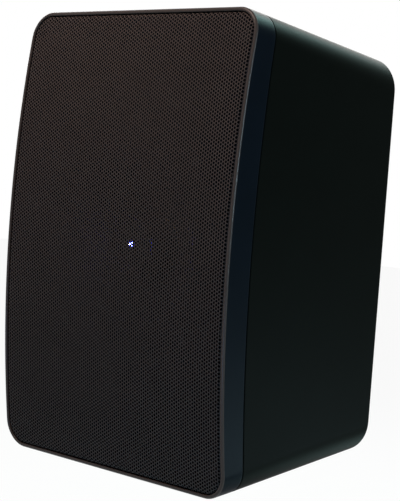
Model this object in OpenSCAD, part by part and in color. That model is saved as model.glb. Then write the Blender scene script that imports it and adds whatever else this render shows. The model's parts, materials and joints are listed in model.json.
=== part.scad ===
// Wall speaker: tapered cabinet, bowed front moulding and grille, coaxial driver, rear connector bay
// X is the width, Y the depth with the front at -Y, Z is up
// The origin is the middle of the bracket points, on the flat back

/* [Front] */
// Width across the front rim
front_w = 200; // [196:1:210]
// Height of the front rim
front_h = 285; // [280:1:295]
// Corner radius of the front outline
front_r = 16.5; // [12:0.5:20]
// How far the middle of the front stands ahead of its ends
bow = 11.5; // [6:0.5:13]
// Depth of the bezel side at the ends of the rim
bezel_d = 17; // [15:0.5:20]
// Bow of the seam between bezel and cabinet
seam_bow = 9; // [6:0.5:11]

/* [Cabinet] */
// Depth from the back to the ends of the rim
side_d = 140.5; // [138:0.5:150]
// Width of the flat back
back_w = 184; // [178:1:190]
// Height of the flat back
back_h = 253; // [248:1:262]
// Corner radius of the back outline
back_r = 21; // [16:0.5:24]
// Wall thickness of the mouldings
wall = 3; // [2.5:0.1:3.2]

/* [Grille] */
// Thickness of the perforated sheet
sheet_t = 1; // [0.8:0.1:1.2]
// Depth of the turned back edge
flange_d = 4; // [3:0.5:4]
// Width of the rim around the grille
rim_w = 2.4; // [2.2:0.1:3.4]
// Diameter of a hole in the coarse pattern of the sheet
hole_d = 12; // [8:0.5:13]
// Rows of holes, middle to middle along the height
hole_rows = 15; // [11:2:15]
// Holes in a full row
hole_cols = 8; // [6:1:8]

/* [Driver] */
// Outer diameter of the basket flange
flange_r2 = 158; // [156:1:160]
// Depth of the flange behind the middle of the front
driver_d = 18; // [17:0.5:19]
// Height of the driver axis from the middle of the front
driver_z = -1; // [-3:0.5:3]
// Diameter of the voice coil former, inside
coil_d = 33.6; // [33:0.1:34]

/* [Bracket points] */
// Side to side distance of the threaded inserts
insert_dx = 70; // [60:1:80]
// Up and down distance of the threaded inserts
insert_dz = 127; // [110:1:130]
// Bore of a threaded insert
insert_bore = 5; // [4:0.1:6]

/* [Hidden] */
$fn = 96;
eps = 0.01;

// Planes and arcs along the depth
front_y = -side_d - bow;
seam_y = -side_d + bezel_d - seam_bow;
rim_arc_r = (pow(front_h / 2, 2) + bow * bow) / (2 * bow);
seam_half = front_h / 2 - 2;
seam_arc_r = (seam_half * seam_half + seam_bow * seam_bow) / (2 * seam_bow);
rear_t = 4;
rear_round = 2.5;

// Front moulding
rim_chamfer = 1.2;
rim_land = 2;
spigot_d = 6;
spigot_t = 2.5;
spigot_gap = 0.3;
seal_t = 1.5;
ledge_t = 2.5;
ledge_w = 7;
grille_set = 0.5;
grille_gap = 0.4;
grille_in = rim_w + grille_gap;
pocket_step = 2.2;
panel_y = -side_d + 4.5;
panel_t = 4;
boss_ring_r = 87;

// Screws that hold the front moulding
baffle_screw_x = 87;
baffle_screw_z = [-126, -45, 45, 126];
screw_col_r = 4.5;
screw_r = 1.45;
pilot_r = 1.5;
clear_r = 2;
head_r = 3.2;
head_h = 2;

// Driver, as radii and planes
flange_r = flange_r2 / 2;
flange_y = front_y + driver_d;
flange_t = 2.5;
cutout_r = flange_r - 7.5;
lip_r = flange_r - 7;
roll_out_r = flange_r - 12;
roll_r = 5;
roll_mid_r = roll_out_r - roll_r;
cone_r = roll_mid_r - roll_r;
lip_t = 0.8;
cone_t = 0.7;
neck_y = flange_y + 25;
shelf_y = flange_y + 34;
seat_y = flange_y + 42;
top_plate_t = 6;
magnet_t = 16;
yoke_t = 6;
magnet_y = seat_y + top_plate_t;
yoke_y = magnet_y + magnet_t;
yoke_end_y = yoke_y + yoke_t;
former_r = coil_d / 2;
former_t = 0.3;
winding_t = 0.8;
winding_h = 10;
winding_y = seat_y + top_plate_t / 2 - winding_h / 2;
pole_r = former_r - 0.5;
pole_y = seat_y - 2;
gap_r = former_r + former_t + winding_t + 0.5;
driver_screw_r = flange_r - 3.4;
driver_screw_angles = [45, 135, 225, 315];
trim_t = 1.6;

// Tweeter on the post, planes from its front ring backwards
tweeter_y = flange_y + 1;
tweeter_r = 21;
tweeter_back_y = tweeter_y + 17;
post_r = 4;
post_bore_r = 2.5;
dome_r = 10.8;
dome_h = 3;

// Rear bay and boards
bay_w = 86;
bay_h = 36;
bay_z = -97;
bay_d = 20;
bay_wall = 2.5;
panel_open_w = 62;
panel_open_h = 22;
plate_w = 80;
plate_h = 30;
plate_t = 2;
plate_screw_x = 35.5;
gasket_t = 1;
plate_y = -bay_d + gasket_t;
socket_w = 16;
socket_h = 14;
socket_x = -14;
block_w = 22;
block_h = 9;
block_x = 11;
socket_board_y = -34;
pillar_x = 27;
board_y = -14;
board_t = 1.6;
board_w = 124;
board_h = 104;
standoff_x = 56;
standoff_z = 46;
standoff_r = 3.5;
insert_boss_r = 8;
insert_r = 4.5;
insert_len = 13;

// Parts that hang on the values above
corner_steps = 14;
arc_angle = 22;
cut_half_w = 110;
column_end_y = -100;
web_l = 8.5;
web_t = 2;
web_y = -117;
board_pilot_r = 1.2;
plate_boss_y = -bay_d - bay_wall - 4;
grille_field_w = front_w - 2 * grille_in - 10;
grille_field_h = front_h - 2 * grille_in - 10;
bend_r = 3.4;
shelf_in_r = 45;
shelf_out_r = 54;
seat_r = 42;
window_a = 58;
strip_x = 66;
strip_t = 1.6;
pad_t = 8;
strip_w = 18;
strip_y0 = flange_y + 20;
strip_y1 = flange_y + 32;
lug_l = 5;
lug_z = 5;
spider_t = 0.5;
magnet_in_r = 22;
magnet_out_r = 45;
nut_r = 8;
nut_t = 4;
guard_t = 3;
pot_r = 14.5;
pot_d = 9;
pot_y = tweeter_back_y - 2 - pot_d;
pole_plate_t = 2.5;
dome_edge_y = tweeter_y + guard_t + 1.5;
dome_t = 0.3;
lip_out_r = 16.5;
hub_r = 3.2;
vane_back = 0.6;
led_r = 1.5;

// Routes of the inner cables
speaker_route = [
    [-56, -24.6, 4], [-56, -30, 4], [-58, -38, 4], [-64, -46, 3], [-70, -56, 2], [-73, -68, 0],
    [-74, -80, -2], [-75, -92, -2], [-75, -99, -1.5], [-73.6, -105, -1], [-71, -108, -1],
    [-67.6, -108, -1]
];
tweeter_route = [
    [4, -24.6, -2], [4, -32, -2], [3, -42, -2], [0.5, -50, -1.4], [0, -56, -1], [0, -64, -1],
    [0, -90, -1], [0, -115.8, -1]
];
socket_route = [
    [0, -24.6, -46], [0, -32, -46], [0, -40, -49], [0, -46, -56], [0, -49, -66], [0, -49, -78],
    [0, -46, -88], [0, -42, -94], [0, -38, -97], [0, -35.6, -97]
];

// Helpers
function mix(a, b, t) = a + (b - a) * t;
function taper(y) = min(1, max(0, (y + side_d - rim_land) / (side_d - rim_land)));
function width_at(y) = mix(front_w, back_w, taper(y));
function height_at(y) = mix(front_h, back_h, taper(y));
function radius_at(y) = mix(front_r, back_r, taper(y));

// Rounded rectangle with true arcs, middle on the origin
module rounded(w, h, r) {
    square([w - 2 * r, h], center = true);
    square([w, h - 2 * r], center = true);
    for (x = [-1, 1], y = [-1, 1])
        translate([x * (w / 2 - r), y * (h / 2 - r)]) circle(r);
}

// Straight piece of a flat outline from y0 to y1
module deep(y0, y1) {
    translate([0, y0, 0]) rotate([-90, 0, 0]) linear_extrude(y1 - y0) children();
}

// Turned solid on the driver axis, from a profile of radius and depth
module turned(angle = 360) {
    translate([0, 0, driver_z]) rotate([-90, 0, 0]) rotate_extrude(angle = angle) children();
}

// Cylinder along Y
module rod(r, y0, y1) {
    translate([0, y0, 0]) rotate([-90, 0, 0]) cylinder(r = r, h = y1 - y0);
}

// Points of a rounded outline with corners of radius r, round the origin
function outline(w, h, r) = [for (q = [0 : 3], i = [0 : corner_steps])
    let (a = 90 * (q + i / corner_steps), sx = q == 0 || q == 3 ? 1 : -1, sz = q < 2 ? 1 : -1)
    [sx * (w / 2 - r) + r * cos(a), sz * (h / 2 - r) + r * sin(a)]];

// Ring of the body's outline at depth y, drawn in by inset
function body_ring(y, inset) =
    let (flat = outline(width_at(y) - 2 * inset, height_at(y) - 2 * inset, radius_at(y) - inset))
    [for (p = flat) [p.x, y, p.y]];

// Solid through a list of rings, each with the same number of points
module loft(rings) {
    n = len(rings[0]);
    last = len(rings) - 1;
    points = [for (ring = rings, p = ring) p];
    skin = [for (i = [0 : last - 1], k = [0 : n - 1]) let (m = (k + 1) % n)
        [i * n + m, (i + 1) * n + m, (i + 1) * n + k, i * n + k]];
    ends = [[for (k = [n - 1 : -1 : 0]) k], [for (k = [0 : n - 1]) last * n + k]];
    polyhedron(points, concat(skin, ends));
}

// Tapered body, drawn in by inset and ending at y_end with a rounded edge
module body_form(inset, y_end, round_d = 0) {
    front = [body_ring(front_y - 5, inset), body_ring(rim_land - side_d, inset)];
    rear = round_d == 0 ? [body_ring(y_end, inset)] : [
        body_ring(y_end - round_d, inset),
        body_ring(y_end - round_d * 0.3, inset + round_d * 0.3),
        body_ring(y_end, inset + round_d)
    ];
    loft(concat(front, rear));
}

// Curved block between two radii about an axis along X, with its outer arc bowed forward to y
module arc_block(y, r_arc, r0, r1) {
    translate([0, y + r_arc, 0]) rotate([0, 90, 0]) rotate([0, 0, -90 - arc_angle / 2])
        rotate_extrude(angle = arc_angle, $fn = 720)
            translate([r0, -cut_half_w]) square([r1 - r0, 2 * cut_half_w]);
}

// Cutter for all that lies ahead of an arc bowed forward to y
module ahead(y, r) {
    arc_block(y, r, r, r + 60);
}

// Cutter for all that lies behind it
module after(y, r) {
    arc_block(y, r, r - 170, r);
}

// Ring of the body between two insets and two arcs parallel to the seam
module seam_band(in0, in1, d0, d1) {
    difference() {
        body_form(in0, -60);
        body_form(in1, -50);
        ahead(seam_y + d0, seam_arc_r);
        after(seam_y + d1, seam_arc_r);
    }
}

// Cutter for all that lies ahead of the rim, which breaks its two long edges
module ahead_of_rim() {
    x = front_w / 2;
    c = rim_chamfer;
    translate([0, front_y + rim_arc_r, 0]) rotate([0, 90, 0]) rotate([0, 0, -90 - arc_angle / 2])
        rotate_extrude(angle = arc_angle, $fn = 720)
            polygon([
                [rim_arc_r, c - x], [rim_arc_r - c - 1, -x - 1], [rim_arc_r + 60, -x - 1],
                [rim_arc_r + 60, x + 1], [rim_arc_r - c - 1, x + 1], [rim_arc_r, x - c]
            ]);
}

module at_baffle_screws() {
    for (x = [-1, 1], z = baffle_screw_z) translate([x * baffle_screw_x, 0, z]) children();
}

module at_inserts() {
    for (x = [-1, 1], z = [-1, 1]) translate([x * insert_dx / 2, 0, z * insert_dz / 2]) children();
}

module at_standoffs() {
    for (x = [-1, 1], z = [-1, 1]) translate([x * standoff_x, 0, z * standoff_z]) children();
}

module at_plate_screws() {
    for (x = [-1, 1]) translate([x * plate_screw_x, 0, bay_z]) children();
}

module at_driver_screws() {
    for (a = driver_screw_angles)
        translate([driver_screw_r * cos(a), 0, driver_z + driver_screw_r * sin(a)]) children();
}

// Box given by its middle in X and Z and its two planes in Y
module block(x, z, w, h, y0, y1) {
    translate([x - w / 2, y0, z - h / 2]) cube([w, y1 - y0, h]);
}

// Rear shell: tapered walls, ledge for the seal, screw columns, bay, insert bosses and standoffs
module cabinet() {
    color("#14171a") difference() {
        union() {
            difference() {
                body_form(0, 0, rear_round);
                body_form(wall, -rear_t);
                ahead(seam_y, seam_arc_r);
            }
            seam_band(wall - 0.5, wall + ledge_w, spigot_d + seal_t, spigot_d + seal_t + ledge_t);
            at_baffle_screws() rod(screw_col_r, panel_y + panel_t, column_end_y);
            for (x = [-1, 1], z = baffle_screw_z)
                block(x * (baffle_screw_x + web_l / 2), z, web_l, web_t, web_y, column_end_y);
            at_inserts() rod(insert_boss_r, -insert_len - 4, -1);
            at_standoffs() rod(standoff_r, board_y, -1);
            block(0, bay_z, bay_w + 2 * bay_wall, bay_h + 2 * bay_wall, -bay_d - bay_wall, -1);
            at_plate_screws() rod(standoff_r, plate_boss_y, -bay_d);
        }
        at_baffle_screws() rod(pilot_r, panel_y, column_end_y - 6);
        at_inserts() rod(insert_r, -insert_len, 1);
        at_inserts() rod(insert_bore / 2, -insert_len - 2, 1);
        at_standoffs() rod(board_pilot_r, board_y - 1, -6);
        block(0, bay_z, bay_w, bay_h, -bay_d, 1);
        block(0, bay_z, panel_open_w, panel_open_h, -bay_d - 10, 1);
        at_plate_screws() rod(board_pilot_r, plate_boss_y - 1, -bay_d + 1);
    }
}

// Front moulding: bowed bezel with its rim, ledge for the grille, driver panel and rear spigot
module baffle() {
    color("#1a1d22") difference() {
        union() {
            difference() {
                body_form(0, -60);
                after(seam_y, seam_arc_r);
                ahead_of_rim();
                deep(panel_y + panel_t, 0) rounded_in(wall + spigot_gap + spigot_t + 1.5);
            }
            difference() {
                body_form(wall + spigot_gap, -60);
                ahead(seam_y - 3, seam_arc_r);
                after(seam_y + spigot_d, seam_arc_r);
                body_form(wall + spigot_gap + spigot_t, -50);
            }
            rod_at_driver(boss_ring_r, panel_y + panel_t - 1, flange_y + flange_t + panel_t);
        }
        difference() {
            deep(front_y - 10, panel_y) rounded_in(rim_w);
            after(front_y + grille_set + flange_d, rim_arc_r);
        }
        deep(front_y - 10, panel_y) rounded_in(rim_w + pocket_step);
        rod_at_driver(flange_r + 0.5, panel_y - 1, flange_y + flange_t);
        rod_at_driver(cutout_r, panel_y - 1, -100);
        at_baffle_screws() rod(clear_r, panel_y - 1, panel_y + panel_t + 1);
        at_driver_screws() rod(pilot_r, flange_y, -100);
    }
}

// Outline of the front, drawn in by inset
module rounded_in(inset) {
    rounded(front_w - 2 * inset, front_h - 2 * inset, front_r - inset);
}

// Rod on the driver axis
module rod_at_driver(r, y0, y1) {
    translate([0, 0, driver_z]) rod(r, y0, y1);
}

// Foam strip between the spigot and the ledge
module baffle_seal() {
    color("#26282a")
        seam_band(wall + spigot_gap, wall + spigot_gap + spigot_t + 0.5, spigot_d, spigot_d + seal_t);
}

// Pan head screw along Y, with the underside of its head at y
module pan_screw(r, head, y, length, to_rear = 1) {
    translate([0, y, 0]) rotate([to_rear > 0 ? 0 : 180, 0, 0]) difference() {
        union() {
            rod(head, -head_h, 0);
            rod(r, -eps, length);
        }
        rod(head * 0.45, -head_h - 1, -head_h / 2, $fn = 6);
    }
}

module baffle_screws() {
    color("#3a3b3e") at_baffle_screws() pan_screw(screw_r, head_r, panel_y, 18);
}

// Perforated sheet, bowed like the rim, its edge turned back on to the ledge
module grille() {
    cell_x = grille_field_w / hole_cols;
    cell_z = grille_field_h / hole_rows;
    color("#3a3634") difference() {
        intersection() {
            deep(front_y - 10, panel_y + 5) rounded_in(grille_in);
            bend_form(0);
        }
        intersection() {
            deep(front_y - 10, panel_y + 6) rounded_in(grille_in + sheet_t);
            bend_form(sheet_t);
        }
        after(front_y + grille_set + flange_d, rim_arc_r);
        deep(front_y - 10, front_y + 30)
            for (row = [0 : hole_rows - 1])
                for (col = [0 : hole_cols - 1 - row % 2])
                    translate([
                        (col - (hole_cols - 1 - row % 2) / 2) * cell_x,
                        (row - (hole_rows - 1) / 2) * cell_z
                    ]) circle(d = hole_d, $fn = 24);
    }
}

// Turned form that rounds the sheet's two long edges
module bend_form(inset) {
    arc_mid = front_y + rim_arc_r;
    r = rim_arc_r - grille_set - inset;
    x = front_w / 2 - grille_in - inset;
    bend = bend_r - inset;
    translate([0, arc_mid, 0]) rotate([0, 90, 0]) rotate_extrude($fn = 360) {
        translate([0, -x]) square([r - bend, 2 * x]);
        translate([0, -x + bend]) square([r, 2 * (x - bend)]);
        for (s = [-1, 1]) translate([r - bend, s * (x - bend)]) circle(bend, $fn = 48);
    }
}

// Cast basket: flange, windowed cone, spider shelf and magnet seat
module driver_basket() {
    color("#2b2d30") difference() {
        union() {
            turned() polygon([
                [roll_out_r, flange_y], [flange_r, flange_y],
                [flange_r, flange_y + flange_t], [cutout_r - 1, flange_y + flange_t],
                [cutout_r - 1, flange_y + 6], [shelf_out_r + 2.5, shelf_y],
                [shelf_out_r + 2.5, shelf_y + 3], [seat_r + 2, seat_y],
                [gap_r + 6, seat_y], [gap_r + 6, seat_y - 2.5],
                [seat_r - 1, seat_y - 2.5], [shelf_in_r, shelf_y],
                [shelf_out_r, shelf_y], [roll_out_r, flange_y + 7]
            ]);
            block(-strip_x + pad_t / 2, driver_z, pad_t, strip_w - 2, strip_y0 + 1, strip_y1 - 1);
        }
        translate([0, 0, driver_z]) for (a = [45 : 90 : 315])
            rotate([0, a - window_a / 2, 0]) rotate([-90, 0, 0]) rotate_extrude(angle = window_a)
                translate([shelf_in_r, flange_y + 9])
                    square([40, shelf_y - 2 - flange_y - 9]);
        at_driver_screws() rod(clear_r - 0.3, flange_y - 1, flange_y + flange_t + 1);
    }
}

// Ring over the flange that hides the lip of the surround
module driver_trim_ring() {
    color("#202225") difference() {
        turned() polygon([
            [lip_r + 0.2, flange_y - trim_t * 0.6], [lip_r + 1.2, flange_y - trim_t],
            [flange_r - 0.8, flange_y - trim_t], [flange_r, flange_y - trim_t + 0.8],
            [flange_r, flange_y], [lip_r + 0.2, flange_y]
        ]);
        at_driver_screws() rod(clear_r - 0.3, flange_y - 3, flange_y + 1);
    }
}

module driver_screws() {
    color("#3a3b3e") at_driver_screws() pan_screw(screw_r, head_r - 0.2, flange_y - trim_t, 9);
}

// Half roll of rubber with a lip on each side
module woofer_surround() {
    color("#232323") turned() difference() {
        union() {
            translate([roll_out_r - lip_t, flange_y - lip_t])
                square([lip_r - roll_out_r + lip_t, lip_t]);
            translate([cone_r - 4, flange_y - lip_t]) square([4 + lip_t, lip_t]);
            intersection() {
                translate([roll_mid_r, flange_y]) circle(roll_r);
                translate([cone_r, flange_y - roll_r]) square([2 * roll_r, roll_r]);
            }
        }
        translate([roll_mid_r, flange_y]) circle(roll_r - lip_t);
    }
}

// Paper cone, drawn as one curve from the neck to the edge
module woofer_cone() {
    steps = 9;
    in_r = former_r + former_t;
    out_r = cone_r - 4;
    function cone_y(t) = mix(neck_y, flange_y, pow(t, 0.85));
    front = [for (i = [0 : steps]) let (t = i / steps) [mix(in_r, out_r, t), cone_y(t)]];
    back = [for (i = [steps : -1 : 1]) let (t = i / steps)
        [mix(in_r, out_r, t), cone_y(t) + cone_t]];
    color("#2a2826") turned() polygon(concat(
        front, [[cone_r, flange_y]], [[cone_r, flange_y + cone_t]], back,
        [[in_r + 1, neck_y + 0.6]], [[in_r + 1, neck_y + 3]], [[in_r, neck_y + 3]]
    ));
}

// Corrugated cloth disc between the coil former and the shelf
module woofer_spider() {
    waves = 5;
    in_r = former_r + former_t + 2.5;
    out_r = shelf_in_r - 0.5;
    top = [for (i = [0 : 4 * waves]) let (t = i / (4 * waves))
        [mix(in_r, out_r, t), shelf_y - spider_t - 1.2 * sin(t * waves * 360)]];
    color("#a8884c") turned() polygon(concat(
        [[former_r + former_t, shelf_y - spider_t]], top, [[shelf_out_r - 0.5, shelf_y - spider_t]],
        [[shelf_out_r - 0.5, shelf_y]],
        [for (i = [4 * waves : -1 : 0]) top[i] + [0, spider_t]],
        [[former_r + former_t, shelf_y]]
    ));
}

// Thin tube that joins the cone, the spider and the winding
module coil_former() {
    color("#b08d57") turned() translate([former_r, neck_y - 1])
        square([former_t, winding_y + winding_h + 1 - neck_y + 1]);
}

module coil_winding() {
    color("#b5622d") turned() translate([former_r + former_t, winding_y])
        square([winding_t, winding_h]);
}

module woofer_top_plate() {
    color("#5c6064") turned() translate([gap_r, seat_y]) square([seat_r - gap_r, top_plate_t]);
}

module woofer_magnet() {
    color("#2c2e31") turned() polygon([
        [magnet_in_r, magnet_y], [magnet_out_r - 1, magnet_y], [magnet_out_r, magnet_y + 1],
        [magnet_out_r, yoke_y - 1], [magnet_out_r - 1, yoke_y], [magnet_in_r, yoke_y]
    ]);
}

// Back plate and bored pole in one piece
module woofer_yoke() {
    color("#5c6064") turned() polygon([
        [post_r + 0.05, pole_y], [pole_r - 0.6, pole_y], [pole_r, pole_y + 0.6],
        [pole_r, yoke_y], [seat_r, yoke_y], [seat_r, yoke_end_y - 1.5],
        [seat_r - 1.5, yoke_end_y], [post_r + 0.05, yoke_end_y]
    ]);
}

// Tag strip on the basket, with two lugs
module terminal_strip() {
    color("#6b4a2a") {
        block(-strip_x - strip_t / 2, driver_z, strip_t, strip_w, strip_y0, strip_y1);
        for (s = [-1, 1])
            block(-strip_x - strip_t - lug_l / 2, driver_z + s * lug_z, lug_l, 4, strip_y0 + 5, strip_y0 + 6);
    }
}

// Tube through the pole that carries the tweeter, with a shoulder at each end
module tweeter_post() {
    color("#7a7d80") turned() polygon([
        [post_bore_r, tweeter_back_y - 2], [post_r, tweeter_back_y - 2],
        [post_r, tweeter_back_y], [post_r + 4, tweeter_back_y], [post_r + 4, tweeter_back_y + 2.5],
        [post_r + 1.5, tweeter_back_y + 5], [post_r + 1.5, pole_y - 4], [post_r + 5, pole_y - 2],
        [post_r + 5, pole_y], [post_r, pole_y], [post_r, yoke_end_y + nut_t + 1],
        [post_bore_r, yoke_end_y + nut_t + 1]
    ]);
}

module post_nut() {
    color("#3a3b3e") difference() {
        rod_at_driver(nut_r, yoke_end_y, yoke_end_y + nut_t, $fn = 6);
        rod_at_driver(post_r + 0.05, yoke_end_y - 1, yoke_end_y + nut_t + 1);
    }
}

// Cup behind the guard, closed by a back wall on the post
module tweeter_housing() {
    color("#1d1f22") turned() polygon([
        [post_r + 0.05, tweeter_back_y - 2], [tweeter_r - 1.6, tweeter_back_y - 2],
        [tweeter_r - 1.6, tweeter_y + guard_t], [tweeter_r, tweeter_y + guard_t],
        [tweeter_r, tweeter_back_y - 3], [tweeter_r - 3, tweeter_back_y], [post_r + 0.05, tweeter_back_y]
    ]);
}

// Pot that returns the field round the small magnet
module tweeter_yoke() {
    color("#6a6d70") turned() polygon([
        [post_bore_r, pot_y + pot_d - 2.5], [pot_r - 3.3, pot_y + pot_d - 2.5],
        [pot_r - 3.3, pot_y], [pot_r, pot_y], [pot_r, pot_y + pot_d],
        [post_bore_r, pot_y + pot_d]
    ]);
}

module tweeter_magnet() {
    color("#b9bcc0") turned() translate([post_bore_r, pot_y + pole_plate_t])
        square([dome_r - 2.3 - post_bore_r, pot_d - 2.5 - pole_plate_t]);
}

module tweeter_pole_plate() {
    color("#6a6d70") rod_at_driver(dome_r - 1.2, pot_y, pot_y + pole_plate_t);
}

// Winding on its short former, glued under the edge of the dome
module tweeter_coil() {
    color("#b5622d") turned() translate([dome_r - 0.7, dome_edge_y + dome_t])
        square([0.6, pot_y + 3 - dome_edge_y - dome_t]);
}

// Dome, half roll and clamped lip, formed from one sheet
module tweeter_diaphragm() {
    ball_r = (dome_r * dome_r + dome_h * dome_h) / (2 * dome_h);
    mid_y = dome_edge_y - dome_h + ball_r;
    edge_a = asin(dome_r / ball_r);
    steps = 10;
    roll = 1.4;
    roll_mid = dome_r + roll - 0.2;
    arc = [for (i = [0 : steps]) let (a = edge_a * i / steps) [sin(a), cos(a)]];
    outer = [for (p = arc) [ball_r * p.x, mid_y - ball_r * p.y]];
    inner = [for (i = [steps : -1 : 0]) let (p = arc[i], r = ball_r - dome_t) [r * p.x, mid_y - r * p.y]];
    color("#101113") turned() {
        polygon(concat(outer, [[dome_r, dome_edge_y]], [[dome_r - 0.3, dome_edge_y]], inner));
        difference() {
            intersection() {
                translate([roll_mid, dome_edge_y]) circle(roll, $fn = 32);
                translate([dome_r - 0.25, dome_edge_y - roll]) square([2 * roll, roll]);
            }
            translate([roll_mid, dome_edge_y]) circle(roll - dome_t, $fn = 32);
        }
        translate([roll_mid + roll - dome_t, dome_edge_y - dome_t])
            square([lip_out_r - roll_mid - roll + dome_t, dome_t]);
    }
}

// Front ring with three vanes and the hub that holds the light
module tweeter_guard() {
    color("#1b1d20") difference() {
        union() {
            turned() polygon([
                [lip_out_r - 2, tweeter_y + guard_t - 1], [lip_out_r - 0.5, tweeter_y + 0.6],
                [tweeter_r - 3, tweeter_y], [tweeter_r, tweeter_y + 1],
                [tweeter_r, tweeter_y + guard_t], [tweeter_r - 1.7, tweeter_y + guard_t],
                [tweeter_r - 1.7, tweeter_y + guard_t + 1.2], [lip_out_r - 2, tweeter_y + guard_t + 1.2]
            ]);
            rod_at_driver(hub_r, tweeter_y - 1.5, tweeter_y + vane_back);
            translate([0, 0, driver_z]) for (a = [90, 210, 330])
                rotate([0, a, 0])
                    block(tweeter_r / 2, 0, tweeter_r - 4, 1.6, tweeter_y - 0.4, tweeter_y + vane_back);
        }
        rod_at_driver(led_r, tweeter_y - 3, tweeter_y - 0.5);
    }
}

// Small lens in the hub
module status_led() {
    color("#dfe8ff") {
        rod_at_driver(led_r, tweeter_y - 1.8, tweeter_y - 0.5);
        translate([0, tweeter_y - 1.8, driver_z]) intersection() {
            sphere(r = led_r, $fn = 48);
            translate([-led_r, -led_r, -led_r]) cube([2 * led_r, led_r, 2 * led_r]);
        }
    }
}

module mount_inserts() {
    color("#b8924a") at_inserts() difference() {
        rod(insert_r, -insert_len, 0);
        rod(insert_bore / 2, -insert_len - 1, 1);
    }
}

// Plate in the bay with the openings for the two connectors and two pillars for their board
module connector_panel() {
    color("#1c1e21") difference() {
        union() {
            block(0, bay_z, plate_w, plate_h, plate_y, plate_y + plate_t);
            for (x = [-1, 1]) translate([x * pillar_x, 0, bay_z]) rod(2.4, socket_board_y, plate_y + eps);
        }
        block(socket_x, bay_z, socket_w, socket_h, plate_y - 1, plate_y + plate_t + 1);
        block(block_x, bay_z, block_w, block_h, plate_y - 1, plate_y + plate_t + 1);
        at_plate_screws() rod(clear_r - 0.3, plate_y - 1, plate_y + plate_t + 1);
    }
}

module panel_gasket() {
    color("#2a2c2e") difference() {
        block(0, bay_z, plate_w, plate_h, -bay_d, plate_y);
        block(0, bay_z, panel_open_w - 1, panel_open_h - 1, -bay_d - 1, plate_y + 1);
        at_plate_screws() rod(clear_r - 0.3, -bay_d - 1, plate_y + 1);
    }
}

module panel_screws() {
    color("#3a3b3e") at_plate_screws()
        pan_screw(board_pilot_r - 0.05, 2.6, plate_y + plate_t, 8, -1);
}

// Network socket: housing with the plug's cavity and the slot for its latch
module network_socket() {
    color("#3b3e42") difference() {
        block(socket_x, bay_z, socket_w, socket_h, socket_board_y, plate_y + plate_t + 0.5);
        block(socket_x, bay_z + 0.8, 12, 7.4, plate_y - 10, plate_y + plate_t + 1);
        block(socket_x, bay_z - 4, 6.4, 3.6, plate_y - 10, plate_y + plate_t + 1);
    }
}

// Terminal block with four screw ports
module terminal_block() {
    color("#2f5a3c") difference() {
        block(block_x, bay_z, block_w, block_h, socket_board_y, plate_y + plate_t + 1.5);
        for (i = [-1.5 : 1.5]) {
            translate([block_x + i * 5, 0, bay_z - 1.8]) block(0, 0, 3.6, 3.4, plate_y - 4, 1);
            translate([block_x + i * 5, 0, bay_z + 2.6]) rod(1.2, plate_y - 3, 1);
        }
    }
}

module socket_board() {
    color("#1f5a38") block(0, bay_z, 60, 20, socket_board_y - board_t, socket_board_y);
}

module amplifier_board() {
    color("#1f5a38") difference() {
        block(0, 0, board_w, board_h, board_y - board_t, board_y);
        at_standoffs() rod(board_pilot_r + 0.3, board_y - 3, board_y + 1);
    }
}

module board_screws() {
    color("#3a3b3e") at_standoffs() pan_screw(board_pilot_r - 0.05, 2.6, board_y - board_t, 8);
}

// Upright electrolytic capacitors
module board_capacitors() {
    color("#22242a") for (i = [0 : 2])
        translate([-44 + 20 * i, 0, 30])
            rod(8, board_y - board_t - 22, board_y - board_t);
}

// Wound output coils
module board_coils() {
    color("#a3602c") for (i = [0 : 1])
        translate([22 + 24 * i, board_y - board_t - 9, -26]) rotate([-90, 0, 0])
            rotate_extrude() translate([4, 0]) square([6, 9]);
}

module board_transformer() {
    color("#3a3d40") {
        block(34, 26, 34, 28, board_y - board_t - 22, board_y - board_t);
        block(34, 26, 20, 34, board_y - board_t - 17, board_y - board_t);
    }
}

// Finned plate on the output stage
module heat_spreader() {
    color("#9da1a5") {
        block(-30, -24, 44, 32, board_y - board_t - 4, board_y - board_t);
        for (i = [0 : 6])
            block(-48 + 6 * i, -24, 1.6, 32, board_y - board_t - 16, board_y - board_t - 4 + eps);
    }
}

module board_plugs() {
    color("#d9d4c6") {
        block(-56, 4, 8, 14, board_y - board_t - 9, board_y - board_t);
        block(4, -2, 14, 8, board_y - board_t - 9, board_y - board_t);
        block(0, -46, 14, 8, board_y - board_t - 9, board_y - board_t);
    }
}

// Round cable through a list of points
module cable(points, r) {
    sides = 8;
    n = len(points);
    function unit(v) = v / norm(v);
    function heading(i) = unit(points[min(i + 1, n - 1)] - points[max(i - 1, 0)]);
    function side_of(d) = unit(cross(d, [0.31, 0.17, 0.93]));
    ring_points = [for (i = [0 : n - 1], k = [0 : sides - 1])
        let (d = heading(i), u = side_of(d), v = cross(d, u), a = 360 * k / sides)
        points[i] + r * (cos(a) * u + sin(a) * v)];
    skin = [for (i = [0 : n - 2], k = [0 : sides - 1], h = [0, 1])
        let (m = (k + 1) % sides, a = i * sides, b = a + sides)
        h == 0 ? [a + k, b + k, b + m] : [a + k, b + m, a + m]];
    ends = [[for (k = [0 : sides - 1]) k], [for (k = [sides - 1 : -1 : 0]) (n - 1) * sides + k]];
    polyhedron(ring_points, concat(skin, ends));
}

module speaker_lead() {
    color("#1e1e1e") cable(speaker_route, 2);
}

module tweeter_lead() {
    color("#1e1e1e") cable(tweeter_route, 1.2);
}

module socket_lead() {
    color("#1e1e1e") cable(socket_route, 2);
}

// Fibre pads along the top and the bottom of the cabinet
module damping_wool() {
    color("#d8d6cf") intersection() {
        union() {
            block(0, 122, 150, 22, -108, -30);
            block(0, -124, 150, 22, -108, -46);
        }
        body_form(wall + 0.4, -5);
    }
}

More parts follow.
